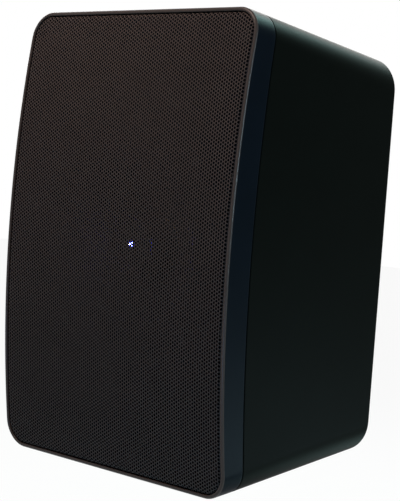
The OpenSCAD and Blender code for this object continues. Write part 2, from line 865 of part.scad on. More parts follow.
cabinet();
baffle();
baffle_seal();
baffle_screws();
grille();
driver_basket();
driver_trim_ring();
driver_screws();
woofer_surround();
woofer_cone();
woofer_spider();
coil_former();
coil_winding();
woofer_top_plate();
woofer_magnet();
woofer_yoke();
terminal_strip();
tweeter_post();
post_nut();
tweeter_lead();
tweeter_housing();
tweeter_yoke();
tweeter_magnet();
tweeter_pole_plate();
tweeter_coil();
tweeter_diaphragm();
tweeter_guard();
status_led();
mount_inserts();
connector_panel();
panel_gasket();
panel_screws();
network_socket();
terminal_block();
socket_board();
amplifier_board();
board_screws();
board_capacitors();
board_coils();
board_transformer();
heat_spreader();
board_plugs();
speaker_lead();
socket_lead();
damping_wool();
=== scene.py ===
"""Looks of the wall speaker: grille, mouldings, soft parts, connectors, finishes, stage and camera.

Shapes are worked out in millimetres from the same values as the solids, and turned into metres
where a mesh is made. X is the width, Y the depth with the front at -Y, Z is up.
"""
import json
import math

import bmesh
import bpy
import numpy as np
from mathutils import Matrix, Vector
from mathutils.geometry import tessellate_polygon


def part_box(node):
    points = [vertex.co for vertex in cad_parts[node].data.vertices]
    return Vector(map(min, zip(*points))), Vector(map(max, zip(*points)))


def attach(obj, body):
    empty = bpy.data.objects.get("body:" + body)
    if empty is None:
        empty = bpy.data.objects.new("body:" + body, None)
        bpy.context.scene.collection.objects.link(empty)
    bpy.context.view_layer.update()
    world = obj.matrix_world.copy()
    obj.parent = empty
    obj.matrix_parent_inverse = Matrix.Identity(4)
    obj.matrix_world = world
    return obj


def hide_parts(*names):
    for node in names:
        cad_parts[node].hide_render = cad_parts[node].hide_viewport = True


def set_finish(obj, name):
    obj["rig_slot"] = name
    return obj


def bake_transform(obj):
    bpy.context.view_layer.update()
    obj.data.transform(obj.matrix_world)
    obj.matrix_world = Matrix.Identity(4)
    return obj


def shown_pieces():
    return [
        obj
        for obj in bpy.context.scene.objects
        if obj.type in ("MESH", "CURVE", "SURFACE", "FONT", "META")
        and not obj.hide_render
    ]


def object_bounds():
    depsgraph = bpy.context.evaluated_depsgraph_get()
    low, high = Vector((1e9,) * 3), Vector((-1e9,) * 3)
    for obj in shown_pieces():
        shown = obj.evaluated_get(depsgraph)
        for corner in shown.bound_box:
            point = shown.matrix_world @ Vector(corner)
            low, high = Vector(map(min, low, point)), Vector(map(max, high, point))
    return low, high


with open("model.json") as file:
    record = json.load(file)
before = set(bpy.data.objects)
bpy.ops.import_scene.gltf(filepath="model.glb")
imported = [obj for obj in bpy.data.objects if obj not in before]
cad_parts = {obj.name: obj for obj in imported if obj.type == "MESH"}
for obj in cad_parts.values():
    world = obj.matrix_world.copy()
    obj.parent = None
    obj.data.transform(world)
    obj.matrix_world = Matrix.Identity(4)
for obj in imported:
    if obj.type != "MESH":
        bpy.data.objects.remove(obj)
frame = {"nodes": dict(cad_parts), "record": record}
cad_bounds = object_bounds()

MM = 0.001

# Front, as in the solids
FRONT_W, FRONT_H, FRONT_R = 200.0, 285.0, 16.5
BOW = 11.5
BEZEL_D = 17.0
SEAM_BOW = 9.0
SIDE_D = 140.5
BACK_W, BACK_H, BACK_R = 184.0, 253.0, 21.0
WALL = 3.0
RIM_LAND = 2.0
SEAM_GAP = 0.15
SEAM_EDGE = 0.5
SPIGOT_GAP = 0.3
SPIGOT_T = 2.5
SPIGOT_D = 6.0
FRONT_Y = -SIDE_D - BOW
SEAM_Y = -SIDE_D + BEZEL_D - SEAM_BOW
RIM_ARC_R = ((FRONT_H / 2) ** 2 + BOW**2) / (2 * BOW)
SEAM_HALF = FRONT_H / 2 - 2
SEAM_ARC_R = (SEAM_HALF**2 + SEAM_BOW**2) / (2 * SEAM_BOW)

# Grille, whose edge is drawn a little tighter than in the solids
RIM_W = 2.4
POCKET_STEP = 2.2
GRILLE_IN = RIM_W + 0.4
GRILLE_SET = 0.2
SHEET_T = 1.0
FLANGE_D = 4.0
BEND_R = 2.2
PITCH = 2.17
HOLE_R = 0.88
PLAIN_EDGE = 1.25
LATTICE_X, LATTICE_Z = 0.3, 0.25

# Driver
PANEL_Y = -SIDE_D + 4.5
PANEL_T = 4.0
FLANGE_Y = FRONT_Y + 18
DRIVER_Z = -1.0
FLANGE_R = 79.0
SEAT_R = FLANGE_R + 0.5
SEAT_Y = FLANGE_Y + 2.5
CUTOUT_R = 71.5
BOSS_R = 87.0
BOSS_Y = SEAT_Y + 4
SHELF_Y = FLANGE_Y + 34
TWEETER_Y = FLANGE_Y + 1

# Rear bay
BAY_W, BAY_H, BAY_Z, BAY_D = 86.0, 36.0, -97.0, 20.0
BAY_LIP = 0.8
INSERT_X, INSERT_Z, INSERT_R = 35.0, 63.5, 4.5
INSERTS = [(x, z) for x in (-INSERT_X, INSERT_X) for z in (-INSERT_Z, INSERT_Z)]
INSERT_D = 13
INSERT_BEVEL = 0.35
BORE_R = 0.4
PLATE_Y = -19.0
PLATE_T = 2.0
SOCKET_X, BLOCK_X = -14.0, 11.0

# Edges that turn by more than this many degrees stay sharp
SHARP = 32


# Meshes

def new_object(name, verts, faces, body="root", smooth=None):
    """Object from points in millimetres; edges that turn by more than smooth degrees stay sharp."""
    mesh = bpy.data.meshes.new(name)
    mesh.from_pydata([tuple(c * MM for c in v) for v in verts], [], faces)
    mesh.validate()
    if smooth is not None:
        mesh.shade_smooth()
        mesh.set_sharp_from_angle(angle=math.radians(smooth))
    obj = bpy.data.objects.new(name, mesh)
    bpy.context.scene.collection.objects.link(obj)
    if body:
        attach(obj, body)
    return obj


def dress(obj, node, slot):
    """Replaces a moulding; wide faces stay flat to the eye beside narrow rounded edges."""
    clean(obj)
    obj.data.shade_smooth()
    obj.data.set_sharp_from_angle(angle=math.radians(SHARP))
    modifier = obj.modifiers.new("face weights", "WEIGHTED_NORMAL")
    modifier.keep_sharp = True
    modifier.weight = 90
    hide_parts(node)
    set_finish(obj, slot)


class Builder:
    """Collects points and faces of one mesh."""

    def __init__(self):
        self.verts = []
        self.faces = []

    def ring(self, points):
        start = len(self.verts)
        self.verts += [tuple(p) for p in points]
        return list(range(start, start + len(points)))

    def sweep(self, rings):
        """Quads between closed rings with the same number of points."""
        ids = [self.ring(ring) for ring in rings]
        for a, b in zip(ids, ids[1:]):
            for i in range(len(a)):
                j = (i + 1) % len(a)
                self.faces.append((a[i], a[j], b[j], b[i]))

    def fill(self, loops, flip=False):
        """Flat face with holes from loops of points, first the outer one."""
        ids = [i for loop in loops for i in self.ring(loop)]
        flat = [[Vector((p[0], p[2], 0)) for p in loop] for loop in loops]
        for tri in tessellate_polygon(flat):
            corners = [ids[k] for k in tri]
            a, b, c = (Vector(self.verts[k]) for k in corners)
            faces_back = (b - a).cross(c - a).y > 0
            self.faces.append(tuple(corners if faces_back != flip else corners[::-1]))

    def face(self, points):
        self.faces.append(tuple(self.ring(points)))

    def build(self, name, body="root", smooth=None):
        return new_object(name, self.verts, self.faces, body, smooth)


def circle(r, y, x=0.0, z=DRIVER_Z, n=128):
    return [(x + r * math.cos(2 * math.pi * i / n), y, z + r * math.sin(2 * math.pi * i / n))
            for i in range(n)]


def lathe(profile, name, smooth):
    """Turned shell on the driver axis from a closed list of radius and depth, on no body yet."""
    made = Builder()
    made.sweep([circle(r, y) for r, y in profile + profile[:1]])
    return clean(made.build(name, None, smooth))


def clean(obj, distance=1e-6):
    """Joins doubled points and turns the faces outwards."""
    bm = bmesh.new()
    bm.from_mesh(obj.data)
    bmesh.ops.remove_doubles(bm, verts=bm.verts, dist=distance)
    bmesh.ops.recalc_face_normals(bm, faces=bm.faces)
    bm.to_mesh(obj.data)
    bm.free()
    return obj


# Outline of the body

def stations():
    """Places round a rounded rectangle: share of the half width and height, and the normal."""
    corner_steps, long_steps, short_steps = 14, 56, 20
    corners = ((1, 1), (-1, 1), (-1, -1), (1, -1))
    normals = ((1, 0), (0, 1), (-1, 0), (0, -1))
    places = []
    for q in range(4):
        (x0, z0), (x1, z1) = corners[q - 1], corners[q]
        steps = short_steps if q % 2 else long_steps
        for i in range(steps):
            t = i / steps
            places.append((x0 + (x1 - x0) * t, z0 + (z1 - z0) * t) + normals[q])
        for i in range(corner_steps):
            a = math.radians(90 * (q + i / corner_steps))
            places.append((x1, z1, math.cos(a), math.sin(a)))
    return places


PLACES = stations()


def outline_point(place, w, h, r):
    ux, uz, nx, nz = place
    return ux * (w / 2 - r) + nx * r, uz * (h / 2 - r) + nz * r


def taper(y):
    """0 along the straight land of the rim, 1 at the back."""
    return min(1.0, max(0.0, (y + SIDE_D - RIM_LAND) / (SIDE_D - RIM_LAND)))


def body_point(place, y, inset):
    t = taper(y)
    w = FRONT_W + (BACK_W - FRONT_W) * t - 2 * inset
    h = FRONT_H + (BACK_H - FRONT_H) * t - 2 * inset
    r = FRONT_R + (BACK_R - FRONT_R) * t - inset
    x, z = outline_point(place, w, h, r)
    return x, y, z


def rim_y(z):
    """Depth of the bowed rim at a height."""
    return FRONT_Y + RIM_ARC_R - math.sqrt(RIM_ARC_R**2 - z * z)


def seam_y(z):
    """Depth of the curved seam at a height."""
    return SEAM_Y + SEAM_ARC_R - math.sqrt(SEAM_ARC_R**2 - z * z)


def ring_at(depth_of, inset, offset):
    """Ring of the body at a depth that depends on the height."""
    ring = []
    for place in PLACES:
        point = body_point(place, depth_of(0) + offset, inset)
        for _ in range(3):
            point = body_point(place, depth_of(point[2]) + offset, inset)
        ring.append(point)
    return ring


def flat_ring(inset, y):
    """Ring of the front outline, drawn in by inset, at one depth."""
    return [(x, y, z) for x, z in
            (outline_point(p, FRONT_W - 2 * inset, FRONT_H - 2 * inset, FRONT_R - inset)
             for p in PLACES)]


def rim_ring(inset, depth):
    """Ring of the front outline on the rim's arc, set back by depth."""
    return [(x, rim_y(z) + depth, z) for x, _, z in flat_ring(inset, 0)]


def quarter(radius, steps):
    """Share of a rounded edge: how far in and how far back, from the side to the face."""
    return [(radius * (1 - math.cos(a)), radius * (1 - math.sin(a)))
            for a in (math.pi / 2 * i / steps for i in range(steps + 1))]


# Mouldings

def front_moulding():
    """Bezel with a rounded rim, ledge for the grille, driver panel and spigot."""
    outer_edge, inner_edge, seam_land = 1.3, 1.0, 1.6
    outside = [ring_at(seam_y, WALL + 0.4, -SEAM_GAP)]
    for inset, back in reversed(quarter(SEAM_EDGE, 3)):
        outside.append(ring_at(seam_y, inset, -SEAM_GAP - back))
    outside.append(ring_at(seam_y, 0, -seam_land))
    outside.append(rim_ring(0, outer_edge))

    ledge_y = FLANGE_D + GRILLE_SET
    bead = [rim_ring(inset, back) for inset, back in quarter(outer_edge, 8)]
    bead += [rim_ring(RIM_W - inset, back) for inset, back in reversed(quarter(inner_edge, 6))]
    bead.append(rim_ring(RIM_W, ledge_y))

    made = Builder()
    made.sweep(outside)
    pocket = RIM_W + POCKET_STEP
    panel = flat_ring(pocket, PANEL_Y)
    made.sweep([bead[-1], rim_ring(pocket, ledge_y), panel])
    made.fill([panel, circle(SEAT_R, PANEL_Y)], flip=True)
    panel_back = PANEL_Y + PANEL_T
    made.sweep([circle(r, y) for r, y in (
        (SEAT_R, PANEL_Y), (SEAT_R, SEAT_Y), (CUTOUT_R, SEAT_Y),
        (CUTOUT_R, BOSS_Y), (BOSS_R, BOSS_Y), (BOSS_R, panel_back))])
    spigot_out = WALL + SPIGOT_GAP
    spigot_in = spigot_out + SPIGOT_T
    rear_face = flat_ring(spigot_in + 1.5, panel_back)
    made.fill([rear_face, circle(BOSS_R, panel_back)])
    made.sweep([rear_face,
                ring_at(seam_y, spigot_in, -SEAM_GAP), ring_at(seam_y, spigot_in, SPIGOT_D),
                ring_at(seam_y, spigot_out, SPIGOT_D), ring_at(seam_y, spigot_out, -SEAM_GAP)])
    dress(made.build("front_moulding"), "baffle", "front_plastic")

    # The bead and its inner wall are a piece of their own. It later takes the lighter rim finish,
    # which is a painted highlight on the bead and painted light where the inner wall lies in shade.
    rim = Builder()
    rim.sweep(bead)
    dress(rim.build("front_rim"), "baffle", "front_plastic")


def back_y(_):
    """Depth of the flat back, the same at every height."""
    return 0.0


def rear_moulding():
    """Tapered shell with a rounded rear edge, the connector bay and the insert bores."""
    edge, edge_land, seam_land, inner_depth, middle_y = 2.4, 1.5, 1.8, 2.0, -60
    outside = [ring_at(seam_y, WALL, inner_depth), ring_at(seam_y, WALL, SEAM_GAP)]
    for inset, back in reversed(quarter(SEAM_EDGE, 3)):
        outside.append(ring_at(seam_y, inset, SEAM_GAP + back))
    outside.append(ring_at(seam_y, 0, seam_land))
    outside.append(ring_at(back_y, 0, middle_y))
    outside.append(ring_at(back_y, 0, -edge - edge_land))
    for inset, back in quarter(edge, 7):
        outside.append(ring_at(back_y, inset, -back))
    bay = [bay_ring(0.0, BAY_LIP), bay_ring(-BAY_LIP * 0.3, BAY_LIP * 0.3), bay_ring(-BAY_LIP, 0),
           bay_ring(-BAY_D, 0)]
    mouths = [circle(INSERT_R + INSERT_BEVEL, 0, x, z, 48) for x, z in INSERTS]

    made = Builder()
    made.sweep(outside)
    made.fill([outside[-1], bay[0]] + mouths)
    made.sweep(bay)
    made.fill([bay[-1]])
    for (x, z), mouth in zip(INSERTS, mouths):
        made.sweep([mouth, circle(INSERT_R, -INSERT_BEVEL, x, z, 48),
                    circle(INSERT_R, -INSERT_D, x, z, 48), circle(BORE_R, -INSERT_D, x, z, 48)])
    dress(made.build("rear_moulding"), "cabinet", "cabinet_plastic")


def bay_ring(y, grow):
    """Rounded outline of the connector bay at one depth."""
    r, steps = 4.0, 8
    points = []
    for q, (sx, sz) in enumerate(((1, 1), (-1, 1), (-1, -1), (1, -1))):
        for i in range(steps + 1):
            a = math.radians(90 * (q + i / steps))
            points.append((sx * (BAY_W / 2 + grow - r) + r * math.cos(a), y,
                           BAY_Z + sz * (BAY_H / 2 + grow - r) + r * math.sin(a)))
    return points


# Grille

def bend(x, z):
    """Places points of the sheet's flat pattern on the bowed face, its bend or its flange.

    Gives the places, their normals, and how far each point lies past the start of the bend.
    """
    w, h, r = FRONT_W / 2 - GRILLE_IN, FRONT_H / 2 - GRILLE_IN, FRONT_R - GRILLE_IN
    kx, kz = np.maximum(np.abs(x) - (w - r), 0), np.maximum(np.abs(z) - (h - r), 0)
    in_corner = (kx > 0) & (kz > 0)
    reach = np.where(in_corner, np.hypot(kx, kz), np.maximum(kx, kz))
    nx = np.where(in_corner, kx / np.maximum(reach, 1e-9), np.where(kx > kz, 1.0, 0.0))
    nz = np.where(in_corner, kz / np.maximum(reach, 1e-9), np.where(kx > kz, 0.0, 1.0))
    past = np.maximum(reach - (r - BEND_R), 0)
    arc = BEND_R * math.pi / 2
    turn = np.minimum(past, arc) / BEND_R
    out = BEND_R * np.sin(turn)
    back = BEND_R * (1 - np.cos(turn)) + np.maximum(past - arc, 0)
    shift = out - past
    px = x + np.sign(x) * nx * shift
    pz = z + np.sign(z) * nz * shift
    face = FRONT_Y + GRILLE_SET + RIM_ARC_R - np.sqrt(RIM_ARC_R**2 - pz * pz)
    normal = np.stack([np.sign(x) * nx * np.sin(turn), -np.cos(turn),
                       np.sign(z) * nz * np.sin(turn)], -1)
    normal[:, 2] += pz / RIM_ARC_R * np.cos(turn)
    normal /= np.linalg.norm(normal, axis=1)[:, None]
    return np.stack([px, face + back, pz], -1), normal, past


def grille():
    """Perforated sheet with its true staggered pattern, and the walls of its holes."""
    past_end = BEND_R * math.pi / 2 + FLANGE_D - BEND_R
    half_w = FRONT_W / 2 - GRILLE_IN - BEND_R + past_end
    half_h = FRONT_H / 2 - GRILLE_IN - BEND_R + past_end
    # Staggered columns of holes; a hole's site is found again by its column and its place in it
    column = PITCH * math.sqrt(3) / 2
    nx, nz = int(half_w / column) + 2, int(half_h / PITCH) + 2
    index, site_x, site_z = {}, [], []
    for i in range(-nx, nx + 1):
        for j in range(-nz, nz + 1):
            index[i, j] = len(site_x)
            site_x.append(i * column + LATTICE_X)
            site_z.append((j + 0.5 * (i % 2) - 0.5) * PITCH + LATTICE_Z)
    site_x, site_z = np.array(site_x), np.array(site_z)
    past = bend(site_x, site_z)[2]
    holed = past < past_end - PLAIN_EDGE
    kept = past < past_end + PITCH
    radius = np.where(holed, HOLE_R, 0.0)
    # Corners of each hole point at the gaps between three holes
    turn = [math.radians(60 * k) for k in range(6)]
    corner_x = np.stack([site_x + radius * math.cos(a) for a in turn], -1)
    corner_z = np.stack([site_z + radius * math.sin(a) for a in turn], -1)
    flat = np.stack([corner_x.ravel(), corner_z.ravel()], -1)
    # Points beyond the end of the flange are drawn back to it
    for _ in range(3):
        _, normal, over = bend(flat[:, 0], flat[:, 1])
        back = np.maximum(over - past_end, 0)
        length = np.maximum(np.hypot(normal[:, 0], normal[:, 2]), 1e-9)
        flat[:, 0] -= back * normal[:, 0] / length
        flat[:, 1] -= back * normal[:, 2] / length
    place, normal, _ = bend(flat[:, 0], flat[:, 1])
    sheet = new_object("grille_sheet", place, sheet_faces(index, kept))
    clean(sheet, 2e-6)
    outward(sheet)
    sheet.data.shade_smooth()
    # Walls of the holes, which later take a darker copy of the grille paint as painted shade
    front = np.flatnonzero(np.repeat(holed, 6))
    inner = place[front] - normal[front] * SHEET_T * 0.9
    verts = np.concatenate([place[front], inner])
    count = len(front)
    walls = []
    for h in range(count // 6):
        for k in range(6):
            a, b = 6 * h + k, 6 * h + (k + 1) % 6
            walls.append((a, b, b + count, a + count))
    tubes = new_object("grille_hole_walls", verts, walls)
    tubes.data.shade_smooth()
    for piece in (sheet, tubes):
        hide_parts("grille")
        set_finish(piece, "grille_steel")


def sheet_faces(index, kept):
    """Webs between pairs of holes and the triangles between threes, six points to a hole."""
    def held(*sites):
        return all(site is not None and kept[site] for site in sites)

    faces = []
    for (i, j), a in index.items():
        if not kept[a]:
            continue
        odd = i % 2
        up = index.get((i, j + 1))
        right_up = index.get((i + 1, j + odd))
        right_down = index.get((i + 1, j + odd - 1))
        if held(up):
            faces.append((6 * a + 1, 6 * a + 2, 6 * up + 4, 6 * up + 5))
        if held(right_up):
            faces.append((6 * a + 0, 6 * a + 1, 6 * right_up + 3, 6 * right_up + 4))
        if held(right_down):
            faces.append((6 * a + 5, 6 * a + 0, 6 * right_down + 2, 6 * right_down + 3))
        if held(up, right_up):
            faces.append((6 * a + 1, 6 * right_up + 3, 6 * up + 5))
        if held(right_up, right_down):
            faces.append((6 * a + 0, 6 * right_down + 2, 6 * right_up + 4))
    return faces


def outward(obj):
    """Turns each face of an open sheet towards the front or the outside."""
    bm = bmesh.new()
    bm.from_mesh(obj.data)
    flipped = [f for f in bm.faces
               if f.normal.dot(f.calc_center_median() - Vector((0, -100 * MM, 0))) < 0
               and f.normal.y > -0.2 or f.normal.y > 0.2]
    bmesh.ops.reverse_faces(bm, faces=flipped)
    bm.to_mesh(obj.data)
    bm.free()


# Soft parts of the driver

def radial_blend(obj):
    """Bakes the object's placement into its mesh and reads its points in millimetres; nothing
    further is done with them.
    """
    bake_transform(obj)
    points = np.empty(len(obj.data.vertices) * 3)
    obj.data.vertices.foreach_get("co", points)
    points = points.reshape(-1, 3) / MM


def half_roll(middle, radius, y, steps):
    """Points over a half circle that rises to the front, from the smaller radius to the larger."""
    turns = [math.pi * i / steps for i in range(steps + 1)]
    return [(middle - radius * math.cos(a), y - radius * math.sin(a)) for a in turns]


def surround():
    """Rubber half roll with a rounded lip on each side."""
    middle, roll, sheet, steps = 62.0, 5.0, 0.8, 20
    inner_r, outer_r = 53.0, 72.0
    front_y = FLANGE_Y - sheet
    outer = half_roll(middle, roll, FLANGE_Y, steps)
    inner = half_roll(middle, roll - sheet, FLANGE_Y, steps)
    profile = [(inner_r, FLANGE_Y), (inner_r, FLANGE_Y - sheet * 0.6), (inner_r + 0.3, front_y),
               (middle - roll - 0.6, front_y)]
    profile += outer[1:-1]
    profile += [(middle + roll + 0.6, front_y), (outer_r, front_y), (outer_r, FLANGE_Y)]
    profile += inner[::-1]
    obj = lathe(profile, "surround_roll", smooth=50)
    radial_blend(obj)
    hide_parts("woofer_surround")
    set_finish(obj, "surround_rubber")


def spider():
    """Corrugated cloth disc."""
    waves, steps, height, sheet = 5, 60, 1.2, 0.5
    neck_r, inner_r, outer_r, rim_r = 17.15, 19.6, 46.0, 53.4
    top = []
    for i in range(steps + 1):
        t = i / steps
        top.append((inner_r + (outer_r - inner_r) * t,
                    SHELF_Y - sheet - height * math.sin(t * waves * 2 * math.pi)))
    bottom = [(r, y + sheet) for r, y in reversed(top)]
    profile = [(neck_r, SHELF_Y - sheet)] + top + [(rim_r, SHELF_Y - sheet), (rim_r, SHELF_Y)]
    profile += bottom + [(neck_r, SHELF_Y)]
    obj = lathe(profile, "spider_cloth", smooth=60)
    radial_blend(obj)
    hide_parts("woofer_spider")
    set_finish(obj, "spider_cloth")


def dome():
    """Coated cloth dome with its roll and clamped lip."""
    edge_r, rise, sheet, roll, held_r, lip_r = 10.8, 3.0, 0.3, 1.4, 13.2, 16.5
    edge_y = TWEETER_Y + 4.5
    ball = (edge_r**2 + rise**2) / (2 * rise)
    middle_y = edge_y - rise + ball
    spread = math.asin(edge_r / ball)
    roll_mid = edge_r + roll - 0.2
    steps, roll_steps = 16, 12

    def cap(radius, share):
        angle = spread * share
        return radius * math.sin(angle), middle_y - radius * math.cos(angle)

    front = [cap(ball, i / steps) for i in range(1, steps + 1)]
    front += half_roll(roll_mid, roll, edge_y, roll_steps)[1:-1]
    front += [(roll_mid + roll, edge_y - sheet), (lip_r, edge_y - sheet), (lip_r, edge_y)]
    back = half_roll(roll_mid, roll - sheet, edge_y, roll_steps)[::-1]
    back += [cap(ball - sheet, i / steps) for i in range(steps - 1, 0, -1)]
    profile = [(0.01, edge_y - rise)] + front + back + [(0.01, edge_y - rise + sheet)]
    obj = lathe(profile, "dome_sheet", smooth=60)
    radial_blend(obj)
    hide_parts("tweeter_diaphragm")
    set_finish(obj, "dome_cloth")


def wool():
    """Fibre pads with crowned faces, one at the top and one at the bottom."""
    width, front_y, crown, lump = 146.0, -108.0, 0.12, 0.6
    low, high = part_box("damping_wool")
    # Rear end, inner face and outer face of each pad
    pads = ((-30.0, 111.6, high.z / MM - 0.6), (-46.0, -113.6, low.z / MM + 0.6))
    bm = bmesh.new()
    for rear_y, z_in, z_out in pads:
        half = Vector((width, rear_y - front_y - 3, abs(z_out - z_in) - 1)) / 2
        middle = Vector((0, (front_y + rear_y) / 2, (z_out + z_in) / 2))
        made = bmesh.ops.create_cube(bm, size=2.0)
        edges = list({e for v in made["verts"] for e in v.link_edges})
        bmesh.ops.subdivide_edges(bm, edges=edges, cuts=15, use_grid_fill=True)
        for v in bm.verts:
            if v.tag:
                continue
            x, y, z = v.co
            crowned = z * (1 - crown * x * x) * (1 - crown * y * y)
            ripple = lump * math.sin(x * 9 + 2 * y) * math.cos(y * 7 - z) * (1 - abs(z) * 0.4)
            at = Vector((x * half.x, y * half.y, crowned * half.z + ripple)) + middle
            limit = wool_limit(at.y)
            at.z = max(-limit, min(limit, at.z))
            v.co = at * MM
            v.tag = True
    mesh = bpy.data.meshes.new("wool_pads")
    bm.to_mesh(mesh)
    bm.free()
    mesh.shade_smooth()
    obj = bpy.data.objects.new("wool_pads", mesh)
    bpy.context.scene.collection.objects.link(obj)
    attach(obj, "root")
    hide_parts("damping_wool")
    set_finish(obj, "wool")


def wool_limit(y):
    """Highest place inside the tapered shell at depth y."""
    height = FRONT_H + (BACK_H - FRONT_H) * taper(y)
    return height / 2 - WALL - 0.8


# Connectors

def socket_contacts():
    """Eight sprung contacts inside the network socket."""
    pitch, half_w, half_t = 1.02, 0.22, 0.25
    path = [(-18.2, -93.6), (-21.0, -94.2), (-24.5, -95.6), (-28.4, -97.6)]
    made = Builder()
    for i in range(8):
        x = SOCKET_X + (i - 3.5) * pitch
        rings = [[(x - half_w, y, z - half_t), (x + half_w, y, z - half_t),
                  (x + half_w, y, z + half_t), (x - half_w, y, z + half_t)] for y, z in path]
        made.sweep(rings)
        made.face(rings[0])
        made.face(rings[-1])
    obj = clean(made.build("socket_contacts"))
    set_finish(obj, "insert_brass")


def block_screws():
    """Slotted clamp screws in the ports of the terminal block."""
    pitch, head_r, top_r, head_h, bevel = 5, 1.12, 1.0, 1.2, 0.12
    slot_w, slot_l, slot_d = 0.22, 0.97, 0.45
    sunk, rise = 0.6, 2.6
    top = PLATE_Y + PLATE_T - sunk
    z = BAY_Z + rise
    angles = [math.pi / 2 - math.pi * k / 12 for k in range(1, 12)]
    made = Builder()
    for i in range(4):
        x = BLOCK_X + (i - 1.5) * pitch
        made.sweep([circle(head_r, top - head_h, x, z, 24), circle(head_r, top - bevel, x, z, 24),
                    circle(top_r, top, x, z, 24)])
        for side in (-1, 1):
            edge = x + side * slot_w
            lip = [(edge, top, z + slot_l), (edge, top, z - slot_l)]
            arc = [(x + side * max(math.cos(a), slot_w), top, z - math.sin(a)) for a in angles]
            made.face(lip + arc)
            made.face(lip + [(edge, top - slot_d, z - slot_l), (edge, top - slot_d, z + slot_l)])
        made.face([(x + sx * slot_w, top - slot_d, z + sz * slot_l)
                   for sx, sz in ((-1, -1), (1, -1), (1, 1), (-1, 1))])
    obj = clean(made.build("block_screws", smooth=35))
    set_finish(obj, "screw_steel")


# Finishes

class Nodes:
    """Short names for building a procedural material."""

    def __init__(self, name):
        self.material = bpy.data.materials.new(name)
        self.material.use_nodes = True
        self.tree = self.material.node_tree
        self.tree.nodes.clear()
        self.out = self.tree.nodes.new("ShaderNodeOutputMaterial")
        self.shader = self.tree.nodes.new("ShaderNodeBsdfPrincipled")
        self.tree.links.new(self.shader.outputs["BSDF"], self.out.inputs["Surface"])
        self.coords = self.tree.nodes.new("ShaderNodeTexCoord").outputs["Object"]

    def link(self, a, b):
        self.tree.links.new(a, b)

    def mapped(self, scale):
        node = self.tree.nodes.new("ShaderNodeMapping")
        node.inputs["Scale"].default_value = scale
        self.link(self.coords, node.inputs["Vector"])
        return node.outputs["Vector"]

    def noise(self, scale, detail=4.0, rough=0.55, vector=None):
        node = self.tree.nodes.new("ShaderNodeTexNoise")
        node.inputs["Scale"].default_value = scale
        node.inputs["Detail"].default_value = detail
        node.inputs["Roughness"].default_value = rough
        self.link(vector or self.coords, node.inputs["Vector"])
        return node.outputs["Fac"]

    def cells(self, scale, vector=None):
        node = self.tree.nodes.new("ShaderNodeTexVoronoi")
        node.inputs["Scale"].default_value = scale
        self.link(vector or self.coords, node.inputs["Vector"])
        return node.outputs["Distance"]

    def waves(self, scale, direction="X", distortion=0.0, vector=None):
        node = self.tree.nodes.new("ShaderNodeTexWave")
        node.bands_direction = direction
        node.inputs["Scale"].default_value = scale
        node.inputs["Distortion"].default_value = distortion
        self.link(vector or self.coords, node.inputs["Vector"])
        return node.outputs["Fac"]

    def ramp(self, fac, stops):
        node = self.tree.nodes.new("ShaderNodeValToRGB")
        ramp = node.color_ramp
        while len(ramp.elements) < len(stops):
            ramp.elements.new(0.5)
        for element, (at, colour) in zip(ramp.elements, stops):
            element.position = at
            element.color = (*colour, 1)
        self.link(fac, node.inputs["Fac"])
        return node.outputs["Color"]

    def spread(self, fac, low, high):
        node = self.tree.nodes.new("ShaderNodeMapRange")
        node.inputs["To Min"].default_value = low
        node.inputs["To Max"].default_value = high
        self.link(fac, node.inputs["Value"])
        return node.outputs["Result"]

    def product(self, a, b):
        node = self.tree.nodes.new("ShaderNodeMath")
        node.operation = "MULTIPLY"
        self.link(a, node.inputs[0])
        self.link(b, node.inputs[1])
        return node.outputs["Value"]

    def bump(self, height, strength, distance):
        node = self.tree.nodes.new("ShaderNodeBump")
        node.inputs["Strength"].default_value = strength
        node.inputs["Distance"].default_value = distance
        self.link(height, node.inputs["Height"])
        return node.outputs["Normal"]

    def set(self, **values):
        names = {"colour": "Base Color", "rough": "Roughness", "metal": "Metallic",
                 "specular": "Specular IOR Level", "sheen": "Sheen Weight", "coat": "Coat Weight",
                 "normal": "Normal", "glow": "Emission Strength", "glow_colour": "Emission Color"}
        for key, value in values.items():
            socket = self.shader.inputs[names[key]]
            if isinstance(value, bpy.types.NodeSocket):
                self.link(value, socket)
            else:
                socket.default_value = (*value, 1) if isinstance(value, tuple) else value
        return self.material


def shades(colour, low, high):
    """Stops of a ramp from a darker to a lighter shade of one colour."""
    return [(0.3, tuple(c * low for c in colour)), (0.7, tuple(c * high for c in colour))]


def moulded(name, colour, rough=0.45, grain=900.0, specular=0.25, depth=0.00004, cloud=0.12):
    """Moulded plastic with a spark-eroded grain."""
    m = Nodes(name)
    fine = m.noise(grain, 3)
    coarse = m.noise(40, 2)
    return m.set(colour=m.ramp(coarse, shades(colour, 1 - cloud, 1 + cloud)), specular=specular,
                 rough=m.spread(fine, rough - 0.06, rough + 0.08), normal=m.bump(fine, 0.35, depth))


def metal(name, colour, rough=0.32, brushed=(1.0, 1.0, 1.0), metallic=1.0):
    """Plated or turned metal with fine marks along one direction."""
    m = Nodes(name)
    marks = m.noise(700, 3, vector=m.mapped(brushed))
    cloud = m.noise(60, 3)
    return m.set(colour=m.ramp(cloud, shades(colour, 0.88, 1.08)), metal=metallic,
                 rough=m.spread(marks, rough - 0.08, rough + 0.12),
                 normal=m.bump(marks, 0.2, 0.00002))


def cloth(name, colour, thread=0.0006, rough=0.85):
    """Plain weave in the front plane."""
    m = Nodes(name)
    scale = 0.155 / thread
    weave = m.product(m.waves(scale, "X", 0.6), m.waves(scale, "Z", 0.6))
    cloud = m.noise(120, 3)
    return m.set(colour=m.ramp(cloud, shades(colour, 0.8, 1.15)), rough=rough, sheen=0.1,
                 normal=m.bump(weave, 0.5, 0.0001))


def rubber(name, colour, rough=0.6):
    """Black rubber with a faint bloom."""
    m = Nodes(name)
    fine = m.noise(1500, 2)
    dust = m.noise(35, 4)
    return m.set(colour=m.ramp(dust, shades(colour, 0.85, 1.3)), specular=0.04,
                 rough=m.spread(dust, rough - 0.1, rough + 0.1), normal=m.bump(fine, 0.3, 0.00003))


